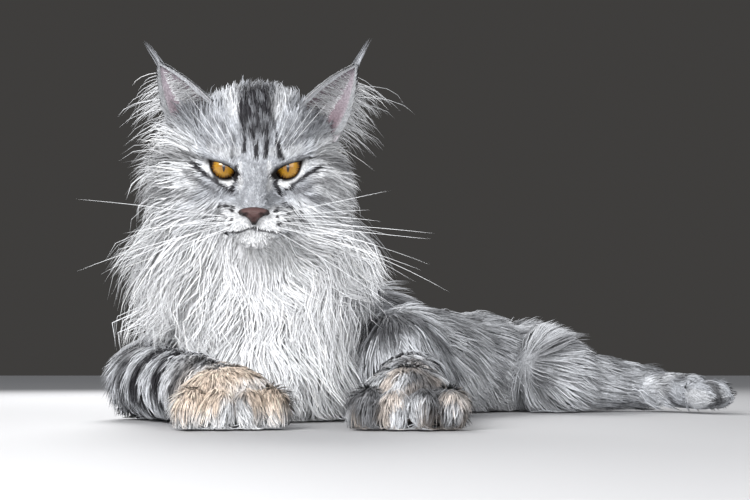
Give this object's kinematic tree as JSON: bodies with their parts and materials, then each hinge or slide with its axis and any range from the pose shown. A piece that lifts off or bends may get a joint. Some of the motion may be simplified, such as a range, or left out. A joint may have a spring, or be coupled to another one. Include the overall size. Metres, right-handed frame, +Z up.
{
  "type": "maine coon cat",
  "caption": "Life-size still model of a long-haired silver tabby Maine Coon cat lying on its chest with its forelegs stretched out and its head up.",
  "frame": {"origin": "on the floor under the front of the chest, on the flat that the chest rests on", "axes": "+Z up from the floor, the cat looks along -Y with its body running back along +Y and +X, and its left side is towards +X"},
  "size_m": [0.5022, 0.6662, 0.2797],
  "materials": {
    "coat_silver": "long soft silver tabby hair with dark tips and bars",
    "coat_white": "long soft white hair of the ruff and chest",
    "iris": "wet gloss over an amber iris with a dark pupil",
    "nose_leather": "fine damp pebbled skin",
    "ear_skin": "thin pinkish skin inside, short silver fur outside"
  },
  "bodies": {
    "root": {"head": "coat_silver", "ear_left": "ear_skin", "ear_right": "ear_skin", "eye_left": "iris", "eye_right": "iris", "nose": "nose_leather", "neck": "coat_white", "chest": "coat_white", "belly": "coat_silver", "rump": "coat_silver", "upper_arm_left": "coat_silver", "forearm_left": "coat_silver", "forepaw_left": "coat_silver", "upper_arm_right": "coat_silver", "forearm_right": "coat_silver", "forepaw_right": "coat_silver", "thigh_left": "coat_silver", "shank_left": "coat_silver", "hind_foot_left": "coat_silver", "thigh_right": "coat_silver", "hind_foot_right": "coat_silver", "tail_root": "coat_silver", "tail_middle": "coat_silver", "tail_tip": "coat_silver"}
  },
  "joints": []
}
